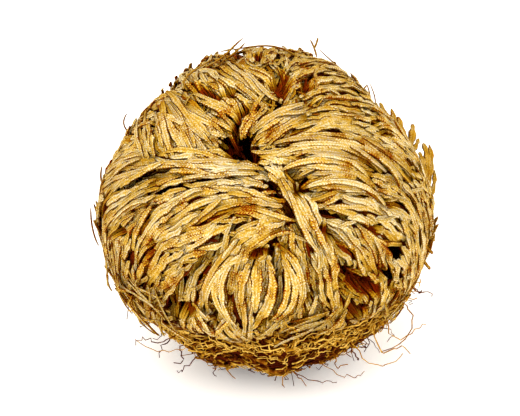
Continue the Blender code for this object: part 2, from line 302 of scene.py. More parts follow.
class Wire:
    # one output of a material's node, which can be reckoned with as a number can

    def __init__(self, tree, socket=None):
        self.tree = tree
        self.socket = socket

    def node(self, kind, settings=None, inputs=None, output=0):
        new = self.tree.nodes.new(kind)
        for key, value in (settings or {}).items():
            if key == "stops":
                for i, (place, colour) in enumerate(value):
                    stop = new.color_ramp.elements[i] if i < 2 else new.color_ramp.elements.new(place)
                    stop.position = place
                    stop.color = (*colour, 1.0)
            else:
                setattr(new, key, value)
        for key, value in (inputs or {}).items():
            if isinstance(value, Wire):
                self.tree.links.new(value.socket, new.inputs[key])
            else:
                new.inputs[key].default_value = value
        return Wire(self.tree, new.outputs[output])

    def math(self, operation, *values):
        return self.node("ShaderNodeMath", {"operation": operation}, dict(enumerate(values)))

    def __add__(self, other):
        return self.math("ADD", self, other)

    def __radd__(self, other):
        return self.math("ADD", other, self)

    def __sub__(self, other):
        return self.math("SUBTRACT", self, other)

    def __rsub__(self, other):
        return self.math("SUBTRACT", other, self)

    def __mul__(self, other):
        return self.math("MULTIPLY", self, other)

    def __rmul__(self, other):
        return self.math("MULTIPLY", other, self)

    def __pow__(self, other):
        return self.math("POWER", self, other)

    def whole(self):
        return self.math("FLOOR", self)

    def part(self):
        return self.math("FRACT", self)

    def between(self, low, high):
        return self.node("ShaderNodeClamp", None, {0: self, 1: low, 2: high})

    def ramp(self, stops):
        return self.node("ShaderNodeValToRGB", {"stops": stops}, {0: self})

    def mix(self, low, high):
        # this wire is the share of the second colour
        return self.node("ShaderNodeMix", {"data_type": "RGBA"}, {0: self, 6: low, 7: high}, 2)

    def attribute(self, name):
        return self.node("ShaderNodeAttribute", {"attribute_name": name}, None, 2)

    def noise(self, scale, detail):
        # over the piece's own coordinates, from 0 to 1
        place = self.node("ShaderNodeTexCoord", None, None, 3)
        inputs = {"Vector": place, "Scale": scale, "Detail": detail}
        return self.node("ShaderNodeTexNoise", None, inputs)


def newMaterial(name):
    material = bpy.data.materials.new(name)
    material.use_nodes = True
    return material, material.node_tree.nodes["Principled BSDF"], Wire(material.node_tree)


def colour(rgb):
    return (*rgb, 1.0)


def finishMaterial(shader, base, look, strength, distance, height):
    # its colour, its relief and its dull surface
    relief = {"Strength": strength, "Distance": distance, "Height": height}
    bump = base.node("ShaderNodeBump", None, relief)
    base.tree.links.new(base.socket, shader.inputs["Base Color"])
    base.tree.links.new(bump.socket, shader.inputs["Normal"])
    shader.inputs["Roughness"].default_value = look["roughness"]
    shader.inputs["Specular IOR Level"].default_value = look["specular"]


# Scaly branchlets: rows of tiny scale leaves, pale at their edges and dark in the clefts at their feet,
# partly their own pattern and partly painted shade.
scaleLook = {
    "rows": 4.0,  # round a branchlet
    "perMetre": 1550.0,  # scales along it
    "bow": 1.1,
    "bump": 1.0,
    "depthOfBump": 0.0005,
}
# the three darkest stops are colours of painted shade, for branchlets sunk deep or in clefts; the
# higher stops are the straw's own tones, which the painted ridge highlight also reaches
strawLook = {
    "deep": (0.250, 0.0190, 0.0003),
    "cleftShade": (0.270, 0.034, 0.0003),
    "shade": (0.440, 0.150, 0.0015),
    "body": (0.650, 0.340, 0.009),
    "light": (0.770, 0.470, 0.058),
    "bright": (0.882, 0.648, 0.210),
    "pale": (1.000, 0.872, 0.590),
    "old": (0.290, 0.105, 0.004),
    "roughness": 0.80,
    "specular": 0.02,
}
# the same for old fronds: the three darkest stops are colours of painted shade
oldStrawLook = {
    "deep": (0.020, 0.004, 0.0008),
    "cleftShade": (0.040, 0.010, 0.003),
    "shade": (0.140, 0.050, 0.012),
    "body": (0.330, 0.165, 0.045),
    "light": (0.520, 0.310, 0.100),
    "bright": (0.580, 0.370, 0.140),
    "pale": (0.640, 0.440, 0.200),
    "old": (0.130, 0.050, 0.014),
    "roughness": 0.85,
    "specular": 0.02,
}


def branchletMaterial(name, look):
    material, shader, wire = newMaterial(name)
    uv = wire.node("ShaderNodeUVMap", {"uv_map": "strandUV"})
    spread = wire.node("ShaderNodeSeparateXYZ", None, {0: uv})
    along = Wire(wire.tree, spread.socket.node.outputs[1])
    depth, tint, age = [wire.attribute(key) for key in ("depth", "tint", "age")]
    coarse, fine = wire.noise(240.0, 3.0), wire.noise(2100.0, 2.0)

    around = spread * scaleLook["rows"]
    row = around.whole()
    off = around.part() - 0.5
    phase = along * scaleLook["perMetre"] + row * 0.5 - off * off * (4 * scaleLook["bow"])
    rise = (phase + fine * 0.5).part()  # from the cleft at a scale's foot to its edge
    edge = 1.0 - (off * off * 4.0) ** 2.0
    scale = rise * edge
    # painted highlight on the ridge of a branchlet, and in places painted shade down its sides, where
    # it meets the next
    sides = (coarse - 0.5) * 7.0 - 0.30 - (1.0 - rise) ** 2.0 * 1.2
    paintedRidgeLight = (wire.math("SINE", spread * (2 * math.pi)) * 2.4 + sides).between(0.0, 1.0)

    marks = (
        (scale - 0.28) * 0.48
        + (tint - 0.5) * 0.36
        + (coarse - 0.5) * 0.40
        + (fine - 0.5) * 1.20
    )
    # the depth value is painted shade: sunk branchlets get a lower tone, down to the painted shade
    # colours, and fainter marks
    shown = depth * 0.86 + 0.14
    tone = ((depth * 0.60 + 0.05) * (paintedRidgeLight * 0.78 + 0.22) + marks * shown).between(0.0, 1.0)
    straw = tone.ramp(
        [
            (0.02, look["deep"]),
            (0.98, look["pale"]),  # a ramp's own two stops come first
            (0.11, look["cleftShade"]),
            (0.22, look["shade"]),
            (0.40, look["body"]),
            (0.60, look["light"]),
            (0.80, look["bright"]),
        ]
    )
    brown = (age * 1.1 + (fine - 0.5) * 0.5 + (coarse - 0.5) * 0.4).between(0.0, 0.9)
    base, height = brown.mix(straw, colour(look["old"])), scale + fine * 0.4
    finishMaterial(shader, base, look, scaleLook["bump"], scaleLook["depthOfBump"], height)
    return material


rootLook = {
    "dark": (0.060, 0.0055, 0.0002),
    "brown": (0.170, 0.045, 0.001),
    "tan": (0.460, 0.222, 0.012),
    "pale": (0.740, 0.460, 0.085),
    "roughness": 0.85,
    "specular": 0.02,
}


def rootMaterial(name, look):
    material, shader, wire = newMaterial(name)
    depth, tint, noise = wire.attribute("depth"), wire.attribute("tint"), wire.noise(900.0, 3.0)
    # depth is painted shade here: low fibres and the bowl take the dark end of the ramp
    tone = (depth * 1.55 - 0.52 + (tint - 0.5) * 0.8 + (noise - 0.5) * 1.4).between(0.0, 1.0)
    stops = [(0.0, look["dark"]), (1.0, look["pale"]), (0.30, look["brown"]), (0.68, look["tan"])]
    finishMaterial(shader, tone.ramp(stops), look, 0.5, 0.0002, noise)
    return material


def addStrands(name, groups, material):
    # one mesh of many closed tubes; each group has points (strands, rings, sides, 3),
    # the distance along at each ring, and its values for each ring
    points, corners, starts, uvs, values = [], [], [], [], {}
    vertexCount = 0
    cornerCount = 0
    for group in groups:
        count, rings, sides, _ = group["points"].shape
        ids = vertexCount + np.arange(count * rings * sides).reshape(count, rings, sides)
        after = np.roll(ids, -1, axis=2)
        quads = np.stack([ids[:, :-1], ids[:, 1:], after[:, 1:], after[:, :-1]], axis=-1).reshape(-1, 4)
        around = np.broadcast_to(np.arange(sides) / sides, (count, rings - 1, sides))
        aroundAfter = around + 1 / sides
        near = np.broadcast_to(group["along"][:, :-1, None], around.shape)
        far = np.broadcast_to(group["along"][:, 1:, None], around.shape)
        quadUv = np.stack(
            [
                np.stack([around, around, aroundAfter, aroundAfter], -1),
                np.stack([near, far, far, near], -1),
            ],
            axis=-1,
        ).reshape(-1, 2)
        caps = np.concatenate([ids[:, 0], ids[:, -1, ::-1]])
        capAlong = np.repeat(np.concatenate([group["along"][:, 0], group["along"][:, -1]]), sides)
        capUv = np.stack([np.tile(np.arange(sides) / sides, 2 * count), capAlong], axis=-1)
        points.append(group["points"].reshape(-1, 3))
        corners.append(np.concatenate([quads.ravel(), caps.ravel()]))
        sizes = np.concatenate([np.full(len(quads), 4), np.full(len(caps), sides)])
        starts.append(cornerCount + np.concatenate([[0], np.cumsum(sizes)[:-1]]))
        uvs.append(np.concatenate([quadUv, capUv]))
        for key, value in group["values"].items():
            full = np.broadcast_to(value[..., None], (count, rings, sides))
            values.setdefault(key, []).append(full.reshape(-1))
        vertexCount += count * rings * sides
        cornerCount += int(sizes.sum())
    mesh = bpy.data.meshes.new(name)
    mesh.vertices.add(vertexCount)
    mesh.vertices.foreach_set("co", np.concatenate(points).astype(np.float32).ravel())
    mesh.loops.add(cornerCount)
    mesh.loops.foreach_set("vertex_index", np.concatenate(corners).astype(np.int32))
    starts = np.concatenate(starts)
    mesh.polygons.add(len(starts))
    mesh.polygons.foreach_set("loop_start", starts.astype(np.int32))
    mesh.update(calc_edges=True)
    layer = mesh.uv_layers.new(name="strandUV")
    layer.data.foreach_set("uv", np.concatenate(uvs).astype(np.float32).ravel())
    for key, lists in values.items():
        attribute = mesh.attributes.new(key, "FLOAT", "POINT")
        attribute.data.foreach_set("value", np.concatenate(lists).astype(np.float32))
    mesh.materials.append(material)
    mesh.shade_smooth()
    piece = bpy.data.objects.new(name, mesh)
    bpy.context.scene.collection.objects.link(piece)
    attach(piece, "root")
    return piece


def strandGroup(points, along, **values):
    # a value may be one number, one for each strand, or one for each ring
    full = {key: np.broadcast_to(value, points.shape[:2]) for key, value in values.items()}
    return {"points": points, "along": along, "values": full}


def tubes(centres, outward, halfWide, halfThick, sides, roll):
    # rings of an ellipse square to each path: wide across the ball and thin outwards, rolled a bit
    ahead = unit(np.gradient(centres, axis=1))
    side = unit(np.cross(ahead, outward))
    over = np.cross(side, ahead)
    turn = np.arange(sides) / sides * 2 * math.pi
    wide = halfWide[..., None] * np.cos(turn)
    thick = halfThick[..., None] * np.sin(turn)
    lean = roll[..., None]
    aside = wide * np.cos(lean) - thick * np.sin(lean)
    above = wide * np.sin(lean) + thick * np.cos(lean)
    points = (
        centres[:, :, None, :]
        + side[:, :, None, :] * aside[..., None]
        + over[:, :, None, :] * above[..., None]
    )
    return points, runningSum(np.linalg.norm(np.diff(centres, axis=1), axis=-1))


def flowPath(start, first, last, length, at):
    # a flat path whose heading turns evenly from the first to the last: the sum of
    # (cos heading, sin heading) times the step, at shares of its length
    heading = first[:, None] + (last - first)[:, None] * smooth(at)[None, :]
    middle = (heading[:, 1:] + heading[:, :-1]) / 2
    step = np.diff(at)[None, :] * length[:, None]
    ahead, aside = runningSum(np.cos(middle) * step), runningSum(np.sin(middle) * step)
    return start[:, None, :] + np.stack([ahead, aside], axis=-1)


# A frond's branchlets, in millimetres and degrees. The upper ones lie in columns from its foot to
# its tip, and each tip lies over the foot of the next. Ones that lie askew under them are painted
# darker, as shade.
spray = {
    "strandGap": 1.46,
    "pitch": (5.0, 12.5),  # from a foot to the next in its column
    "overlap": (3.0, 5.5),
    "shift": (-9.0, 6.0),  # of a whole column
    "shortest": 4.5,
    "crowded": 1.25,  # the gap at which every branchlet has room; fewer are kept in a smaller one
    "halfWide": (0.56, 0.90),
    "serration": 0.13,  # how much wider every other ring is
    "halfThick": (0.36, 0.48),
    "lifts": (-0.42, 0.10),
    "slope": (-0.55, 0.20),  # added to that at the foot and the tip
    "fan": (0.78, 0.27),  # a foot's share of its place across, and what its tip has more
    "wave": 0.28,
    "stray": 5.5,
    "forks": 0.56,  # side branchlets for each upper one
    "forkLean": 31.0,
    "forkLengths": (4.5, 9.5),
    "underGap": 2.05,
    "underRow": 6.4,
    "underLengths": (9.0, 16.0),
    "underLifts": (-2.0, -0.95),
    "underStray": 11.0,
    "rise": 0.82,  # share of its depth that a frond rises where nothing covers it
    "curled": 0.24,  # share whose tips curl up, and how far
    "curl": (0.3, 1.3),
    "at": np.array([0.0, 0.06, 0.16, 0.28, 0.40, 0.52, 0.64, 0.76, 0.87, 0.955, 1.0]),
    "shortAt": np.array([0.0, 0.15, 0.38, 0.62, 0.84, 0.95, 1.0]),
    "bundled": 1.5,  # how many more a bundle has than its row says
    "slim": {"frond_strap": 0.80},  # share of a blade's width that the branchlets cover
    "mouthOwner": "frond_right_upper",  # its bundles cross the mouth
}

# Small curled tips at the crest, in the same measures: where, how many, how long and how bent.
curls = {
    "owner": "frond_back_left_high",
    "count": 95,
    "right": (-19.0, 7.0),
    "up": (23.5, 36.0),
    "lengths": (3.0, 7.0),
    "bend": (0.8, 2.8),
    "halfWide": (0.26, 0.52),
    "lifts": (-0.3, 1.3),  # down into the ball
    "edge": 37.0,
}

# Gaps between the branchlets, dark from real shade and from the painted shade of the branchlets pushed
# down in them,
# as the viewer sees them: millimetres to the right and up from the ball's centre, half width and half
# height, degrees of turn, and depth.
gaps = [
    (-6.2, 19.2, 2.3, 2.9, 0, 10.4),
    (-7.2, 15.0, 2.9, 2.0, 15, 10.4),
    (-2.8, 13.2, 1.46, 0.9, 0, 3.9),
    (3.6, 28.8, 2.24, 2.24, 30, 3.9),
    (9.5, 28.2, 1.46, 1.34, 0, 3.4),
    (10.6, 24.4, 3.14, 0.78, -12, 3.1),
    (-1.6, 35.2, 1.46, 1.23, 0, 3.4),
    (-13.2, 27.3, 3.25, 1.12, -15, 3.4),
    (-5.3, 24.2, 2.13, 1.12, 20, 3.6),
    (-8.4, 27.5, 1.34, 1.01, 0, 2.9),
    (-24.8, 23.1, 1.01, 0.9, 0, 2.9),
    (-24.5, 19.2, 0.78, 1.12, 0, 2.9),
    (-31.3, 16.8, 0.78, 1.68, 0, 2.9),
    (7.4, 4.0, 1.8, 0.9, 20, 3.0),
    (13.9, -5.2, 1.57, 1.34, 0, 3.9),
    (12.4, -3.4, 1.12, 0.9, -30, 3.1),
    (18.9, -14.4, 2.6, 1.5, 0, 5.2),
    (17.2, -17, 1.1, 3.6, 0, 4.8),
    (23.0, -17.4, 3.3, 1.9, -20, 5.4),
    (20.6, -23.2, 2.8, 1.6, 20, 5.0),
    (27.6, -14.2, 1.5, 1.1, 30, 4.0),
    (28.6, -16.9, 1.01, 1.34, 20, 3.1),
    (26.9, 2.3, 2.24, 0.78, -40, 2.9),
    (24.5, -3.8, 1.46, 0.78, 0, 3.1),
    (-1.4, -9, 1.9, 1.23, 20, 3.9),
    (3.8, -7.8, 1.01, 0.9, 0, 3.1),
    (-32.3, -4.7, 1.01, 1.46, 0, 3.1),
    (-30.1, -18.6, 0.9, 1.23, -20, 2.9),
    (-17.9, -22.4, 2.6, 1.6, 10, 4.4),
    (-24.7, -21.8, 0.78, 1.9, 40, 2.9),
    (-17.6, -24, 1.34, 0.78, 10, 2.9),
    (-25.8, -9.2, 0.67, 2.91, -10, 2.6),
    (-11.1, -23, 0.78, 1.9, 0, 3.1),
    (-0.2, -24.3, 1.57, 1.01, 20, 3.1),
    (9.6, -19, 1.79, 0.9, 45, 3.4),
    (-13.3, -14.2, 0.9, 1.23, -20, 2.9),
    (-7.6, -19.5, 0.78, 1.23, 10, 2.9),
    (26.0, 18.6, 4.4, 0.5, -47, 2.4),
    (33.6, 8.8, 3.2, 0.5, -62, 2.4),
]
# Paler and more golden places, in the same way, with what is added to the tint.
tones = [
    (-5.7, 9.6, 10.0, 3.6, 8, 0.75),
    (-17.0, 19.0, 8.0, 7.0, 0, 0.12),
    (20.0, 2.0, 8.0, 4.0, -10, 0.20),
    (3.0, -17.0, 15.0, 9.0, 0, -0.12),
    (-26.0, -18.0, 10.0, 10.0, 0, -0.10),
    (22.0, -20.0, 9.0, 7.0, 0, -0.12),
    (0.0, 18.5, 7.0, 4.0, 20, -0.10),
]
# Bundles of branchlets that run their own way, as the viewer sees them: the frond, how many, how
# far apart and half how wide in millimetres, how far down into the ball at each of its places, and
# each bundle's places to the right and up.
bundles = [
    ("frond_right_upper", 4, 0.55, 0.62, (0.2, -0.5, -0.6, 0.2, 2.0), [
        [(-0.7, 24.5), (-2.5, 22.0), (-4.4, 19.2), (-5.0, 16.9), (-3.4, 14.9)],
    ]),
    ("frond_right_upper", 3, 0.5, 0.6, (0.3, -0.1, -0.2, 1.2), [
        [(0.5, 23.8), (-1.1, 21.3), (-2.7, 18.8), (-3.4, 16.3)],
    ]),
    ("frond_right_upper", 5, 0.8, 0.66, (0.5, -0.5, -0.8, 0.6), [
        [(10.8, 22.7), (6.2, 21.1), (1.6, 18.8), (-2.5, 15.6)],
    ]),
    ("frond_right_upper", 5, 0.8, 0.66, (0.5, -0.4, -0.7, 0.9), [
        [(9.8, 21.1), (5.3, 19.5), (1.1, 17.4), (-2.1, 14.4)],
    ]),
    ("frond_right_upper", 4, 0.8, 0.62, (0.5, -0.3, -0.5, 0.8), [
        [(8.5, 19.5), (4.8, 18.1), (1.4, 16.0), (-0.5, 13.5)],
    ]),
    ("frond_left_upper", 3, 0.5, 0.6, (0.3, -0.2, 0.0, 1.5), [
        [(-13.7, 21.3), (-10.8, 19.9), (-8.5, 18.3), (-6.9, 16.7)],
    ]),
    ("frond_left_upper", 3, 0.5, 0.6, (0.2, -0.3, 0.4), [[(-13.1, 19.0), (-10.8, 17.6), (-8.2, 16.3)]]),
    ("frond_back_left_high", 5, 0.8, 0.6, (1.2, -0.1, -0.3, 0.2), [
        [(-9.8, 33.2), (-6.2, 30.2), (-2.3, 27.0), (1.6, 23.8)],
        [(-11.7, 31.8), (-7.6, 28.6), (-3.9, 25.4), (-0.7, 22.7)],
        [(-13.5, 30.0), (-9.8, 27.0), (-6.6, 24.3), (-4.1, 21.8)],
    ]),
    ("frond_back_left_high", 4, 0.8, 0.6, (1.2, -0.1, -0.3, 0.2), [
        [(-7.1, 34.6), (-3.4, 31.8), (0.2, 29.1), (3.4, 26.6)],
        [(-15.3, 27.7), (-11.7, 25.2), (-8.5, 22.9), (-6.2, 21.1)],
    ]),
    ("frond_left_high", 5, 0.9, 0.66, (1.2, -0.1, -0.3, 0.2), [
        [(-24.0, 24.5), (-22.7, 19.9), (-21.1, 15.3), (-19.2, 11.5)],
        [(-23.1, 25.2), (-20.4, 20.4), (-17.6, 15.6), (-15.1, 11.2)],
        [(-22.2, 25.6), (-18.5, 20.8), (-14.9, 15.8), (-11.2, 11.2)],
        [(-20.8, 25.9), (-16.7, 21.5), (-12.6, 17.2), (-8.9, 12.4)],
        [(-19.2, 25.9), (-14.9, 22.4), (-10.8, 18.8), (-7.6, 14.7)],
    ]),
    ("frond_left_high", 4, 0.9, 0.62, (1.2, -0.1, -0.3, 0.2), [
        [(-17.6, 25.6), (-13.5, 23.6), (-9.8, 21.5), (-6.9, 19.5)],
    ]),
    ("frond_left_high", 5, 0.9, 0.62, (1.2, -0.1, -0.3, 0.2), [
        [(-25.0, 23.6), (-24.7, 19.0), (-24.0, 14.9), (-22.4, 11.5)],
    ]),
    ("frond_left_high", 4, 0.9, 0.62, (1.2, -0.1, -0.3, 0.2), [
        [(-26.3, 22.2), (-27.0, 18.3), (-26.6, 14.7), (-25.4, 11.7)],
    ]),
    ("frond_right_middle", 4, 0.8, 0.68, (0.4, 0.1, 0.2, 1.0), [
        [(9.5, 13.0), (5.5, 12.6), (1.5, 12.2), (-2.2, 12.8)],
    ]),
    ("frond_right_middle", 4, 0.7, 0.66, (0.4, 0.2, 0.3, 1.2), [
        [(8.0, 10.7), (4.5, 10.7), (1.0, 11.0), (-1.5, 12.0)],
    ]),
    ("frond_right_middle", 5, 0.9, 0.62, (0.9, -0.1, -0.2, 0.3), [
        [(25.9, 7.6), (18.3, 12.1), (10.3, 13.5), (2.7, 11.9)],
        [(25.2, 4.8), (18.3, 9.8), (10.8, 11.2), (3.7, 9.2)],
        [(26.3, 2.1), (20.6, 7.1), (13.7, 8.9), (7.1, 6.9)],
        [(25.2, 11.2), (17.2, 14.9), (9.2, 15.8), (1.6, 13.7)],
        [(30.0, 5.7), (25.9, 10.8), (20.6, 14.4), (14.9, 16.0)],
        [(31.8, 6.2), (28.2, 11.7), (23.6, 15.8), (18.3, 18.3)],
    ]),
    ("frond_right_low", 4, 0.8, 0.68, (0.5, 0.0, 0.1, 0.8), [
        [(21.0, 7.2), (16.5, 7.6), (12.0, 6.9), (8.5, 5.2)],
    ]),
    ("frond_right_low", 4, 0.7, 0.66, (0.5, 0.0, 0.1, 0.8), [
        [(22.0, 5.0), (17.0, 5.6), (12.5, 5.3), (9.5, 4.0)],
    ]),
    ("frond_left_middle", 5, 0.9, 0.62, (0.9, -0.1, -0.2, 0.3), [
        [(-36.9, 0.9), (-33.7, 5.0), (-28.6, 7.8), (-22.9, 9.2)],
        [(-36.4, -3.0), (-33.2, 1.6), (-28.2, 4.6), (-22.2, 6.0)],
        [(-37.1, 4.8), (-33.7, 8.9), (-28.6, 11.2), (-22.9, 11.9)],
        [(-36.0, -7.1), (-33.4, -2.1), (-29.1, 1.4), (-23.6, 3.0)],
    ]),
    ("frond_left_middle", 4, 0.8, 0.66, (0.5, 0.0, 0.0, 0.3), [
        [(-25.0, 12.8), (-18.0, 12.6), (-11.0, 12.0), (-4.0, 11.4)],
    ]),
    ("frond_left_middle", 5, 0.8, 0.66, (0.5, -0.1, -0.1, 0.3), [
        [(-26.0, 10.4), (-18.5, 10.0), (-11.5, 9.8), (-3.5, 10.0)],
    ]),
    ("frond_left_middle", 4, 0.8, 0.66, (0.5, -0.1, -0.1, 0.4), [
        [(-20.0, 7.6), (-13.5, 8.0), (-7.0, 8.6), (0.4, 8.6)],
    ]),
    ("frond_strap", 3, 0.35, 0.66, (0.4, -0.7, -0.8, -0.3), [
        [(1.4, 9.8), (5.0, 3.5), (8.6, -2.6), (12.6, -10.5)],
    ]),
    ("frond_strap", 3, 0.35, 0.66, (0.4, -0.7, -0.8, -0.2), [
        [(2.8, 9.4), (6.5, 3.0), (10.4, -3.6), (14.6, -11.0)],
    ]),
    ("frond_left_low", 4, 0.8, 0.66, (0.5, -0.1, 0.0, 0.5), [
        [(-9.0, 2.2), (-4.5, 2.8), (0.0, 2.2), (4.6, 0.4)],
        [(-8.0, -0.8), (-3.5, 0.1), (0.8, -0.6), (5.6, -2.6)],
    ]),
    ("frond_front", 4, 0.8, 0.62, (0.9, -0.1, -0.2, 0.3), [
        [(-7.6, -6.2), (-3.9, -3.7), (-0.2, -2.3), (3.7, -2.1)],
        [(-5.7, -9.4), (-3.0, -6.4), (0.7, -4.6), (5.0, -4.1)],
    ]),
    ("frond_front", 3, 0.6, 0.7, (0.5, -0.3, -0.4, 0.2), [
        [(-0.5, -5.5), (-8.2, -10.6), (-12.3, -16.0), (-11.8, -22.0)],
    ]),
    ("frond_front", 3, 0.6, 0.7, (0.5, -0.3, -0.5, -0.2), [
        [(-3.0, -7.5), (-8.4, -13.0), (-9.0, -19.0), (-5.5, -26.4)],
    ]),
    ("frond_front", 3, 0.5, 0.74, (0.4, -0.3, -0.5, -0.3), [
        [(-2.5, -10.0), (-5.2, -14.5), (-5.6, -20.0), (-4.6, -26.8)],
    ]),
    ("frond_front", 3, 0.5, 0.74, (0.4, -0.4, -0.6, -0.3), [
        [(-1.7, -9.6), (-1.9, -14.5), (-2.4, -20.0), (-4.2, -26.8)],
        [(0.4, -8.6), (1.8, -13.5), (0.6, -19.5), (-3.4, -26.2)],
    ]),
    ("frond_front", 3, 0.6, 0.7, (0.4, -0.3, -0.5, -0.2), [
        [(2.8, -8.0), (5.6, -13.8), (5.0, -20.0), (-0.6, -25.6)],
    ]),
    ("frond_front", 3, 0.6, 0.7, (0.5, -0.3, -0.4, 0.1), [
        [(2.0, -6.8), (6.6, -12.0), (8.2, -17.5), (5.0, -24.2)],
    ]),
    ("frond_front", 3, 0.4, 0.42, (0.6, -0.2, -0.5, -0.1), [
        [(7.6, -20.4), (5.0, -23.1), (2.1, -25.6), (-1.1, -27.5)],
    ]),
    ("frond_left_short", 3, 1.7, 0.36, (1.2, -0.1, -0.3, 0.2), [
        [(-35.0, -11.7), (-31.0, -15.9), (-27.0, -21.8), (-20.9, -25.1)],
        [(-33.7, -15.8), (-29.5, -19.3), (-25.2, -21.4), (-21.1, -26.4)],
    ]),
    ("frond_left_short", 3, 1.7, 0.34, (1.2, -0.1, -0.3, 0.2), [
        [(-29.4, -11.7), (-27.2, -16.7), (-25.5, -21.1), (-21.9, -25.5)],
    ]),
    ("frond_left_short", 3, 1.7, 0.36, (1.2, -0.1, -0.3, 0.2), [
        [(-36.4, -6.9), (-33.4, -13.7), (-31.9, -18.9), (-27.3, -23.5)],
    ]),
    ("frond_left_short", 3, 1.7, 0.32, (1.2, -0.1, -0.3, 0.2), [
        [(-24.4, -14.9), (-24.4, -18.7), (-22.9, -22.9), (-19.3, -26.5)],
    ]),
    ("frond_front_right", 3, 0.6, 0.34, (1.2, -0.1, -0.3, 0.2), [
        [(18.5, -19.9), (15.8, -22.7), (13.1, -25.2), (9.8, -27.3)],
        [(16.9, -21.1), (12.1, -23.1), (6.6, -24.7), (1.1, -26.3)],
    ]),
    ("frond_front_right", 3, 0.6, 0.3, (1.2, -0.1, -0.3, 0.2), [
        [(33.7, -19.0), (31.4, -21.8), (29.1, -24.3), (26.3, -26.8)],
    ]),
    ("frond_front_right", 3, 0.7, 0.34, (1.2, -0.1, -0.3, 0.2), [
        [(27.5, -20.4), (27.3, -22.2), (27.5, -24.0), (27.9, -25.9)],
    ]),
    ("frond_front_right", 3, 0.6, 0.4, (0.6, -0.2, -0.5, -0.1), [
        [(14.2, -22.4), (10.3, -24.5), (6.2, -26.3), (2.3, -27.7)],
    ]),
    ("frond_front_left", 3, 0.5, 0.56, (0.6, -0.2, -0.5, -0.1), [
        [(-17.2, -19.9), (-15.1, -22.9), (-12.8, -25.4), (-11.0, -27.5)],
        [(-8.0, -18.8), (-8.7, -22.2), (-9.8, -25.2), (-11.0, -27.7)],
    ]),
]
# Twigs and wider feathers that stand out: half how wide, and places to the right, up and towards
# the viewer.
twigs = {
    "frond_left_high": [
        (0.30, [(-13.7, 31.8, 19.0), (-9.8, 34.1, 17.0), (-7.6, 36.4, 13.5), (-5.0, 39.2, 9.0)]),
        (0.26, [(-8.5, 34.1, 17.8), (-6.2, 36.0, 14.6), (-4.6, 38.0, 10.0)]),
        (0.28, [(-17.2, 26.6, 23.6), (-17.9, 28.9, 20.2), (-16.0, 31.1, 18.4), (-11.4, 34.1, 16.2)]),
    ],
    "frond_back": [
        (0.30, [(-6.9, 36.4, 12.2), (-0.7, 37.4, 9.8), (3.6, 36.6, 12.8), (8.0, 34.0, 16.6)]),
        (0.28, [(11.5, 34.6, 14.4), (11.2, 36.9, 8.0), (10.3, 39.2, 5.0)]),
        (0.24, [(11.2, 36.9, 8.0), (11.7, 38.2, 7.0), (12.1, 39.6, 6.0)]),
    ],
    "frond_back_right": [
        (0.32, [(19.9, 27.2, 13.0), (19.9, 29.5, 6.0), (18.3, 31.8, 2.0), (12.1, 37.6, 0.0)]),
        (0.22, [(23.6, 23.4, 14.0), (24.0, 26.6, 4.0), (23.4, 29.5, 0.0)]),
        (0.20, [(24.5, 22.9, 13.0), (25.2, 26.0, 3.0), (24.0, 29.8, 0.0)]),
        (0.20, [(21.8, 27.0, 9.0), (22.6, 28.0, 5.0), (23.4, 28.9, 2.0)]),
    ],
    "frond_right_high": [
        (0.66, [(31.2, 12.0, 13.0), (28.6, 18.6, 12.0), (26.1, 24.6, 8.0)]),
        (0.70, [(31.4, 11.8, 12.0), (30.2, 17.4, 9.8), (28.9, 23.4, 4.5)]),
        (0.85, [(31.6, 11.6, 11.0), (31.4, 16.8, 8.0), (30.4, 21.6, 4.0)]),
        (0.60, [(30.4, 14.0, 14.0), (27.2, 19.6, 13.2), (24.2, 24.4, 11.0)]),
        (0.95, [(32.0, 11.2, 8.0), (33.4, 15.6, 4.5), (34.0, 19.9, 1.5)]),
        (0.55, [(33.0, 12.6, 8.0), (34.2, 14.4, 6.0), (35.2, 16.6, 4.0)]),
        (0.66, [(36.0, 6.0, 10.5), (35.9, 10.2, 9.0), (35.0, 13.4, 8.0)]),
        (0.85, [(36.4, 5.4, 7.0), (37.2, 11.0, 4.0), (36.4, 15.6, 1.5)]),
        (0.75, [(37.0, 5.0, 5.0), (38.2, 10.4, 1.5), (38.0, 15.2, -1.0)]),
        (0.60, [(37.4, 2.0, 4.0), (38.8, 5.4, 1.0), (39.2, 9.4, -1.0)]),
    ],
    "frond_right_low": [
        (0.50, [(36.2, -4.6, 6.0), (37.8, -6.2, 5.0), (38.8, -6.6, 4.0)]),
        (0.45, [(36.0, -7.4, 6.0), (37.6, -9.0, 5.0), (38.4, -9.6, 4.0)]),
        (0.45, [(35.6, -10.6, 6.0), (37.0, -12.4, 5.0), (37.8, -13.2, 4.0)]),
    ],
    "frond_left_upper": [
        (0.34, [(-38.4, -8.0, 0.0), (-39.8, -4.0, 0.0), (-40.2, 0.9, 0.0)]),
        (0.34, [(-36.6, 4.0, -6.0), (-38.2, 7.0, -6.0), (-38.0, 10.6, -6.0)]),
        (0.26, [(-31.4, 18.0, -10.0), (-33.2, 20.4, -10.0), (-32.4, 23.0, -10.0)]),
    ],
}


def smoothRoute(places, at):
    # the curve through a few places, read at shares of its length, which may be each route's own
    places = np.asarray(places, float)
    knots = np.linspace(0, 1, places.shape[-2])
    route = 0
    for i, knot in enumerate(knots):
        others = [k for j, k in enumerate(knots) if j != i]
        weight = np.prod([(at - k) / (knot - k) for k in others], axis=0)
        route = route + weight[..., None] * places[..., i : i + 1, :]
    return route


def facePoint(places):
    # from millimetres right, up and towards the viewer to a place in metres, above the floor
    places = np.asarray(places, float) / 1000
    point = ball["centre"] + places[..., 0:1] * [1.0, 0, 0] + places[..., 1:2] * faceUp
    point = point + places[..., 2:3] * faceOut
    point[..., 2] = np.maximum(point[..., 2], 0.00030)
    return point


def faceOf(way):
    # millimetres to the right, up and towards the viewer of a way on the ball
    place = way * ball["radius"] * 1000 * ball["shape"]
    up = place[..., 1] * faceUp[1] + place[..., 2] * faceUp[2]
    return place[..., 0], up, place[..., 2] * faceOut[2] + place[..., 1] * faceOut[1]


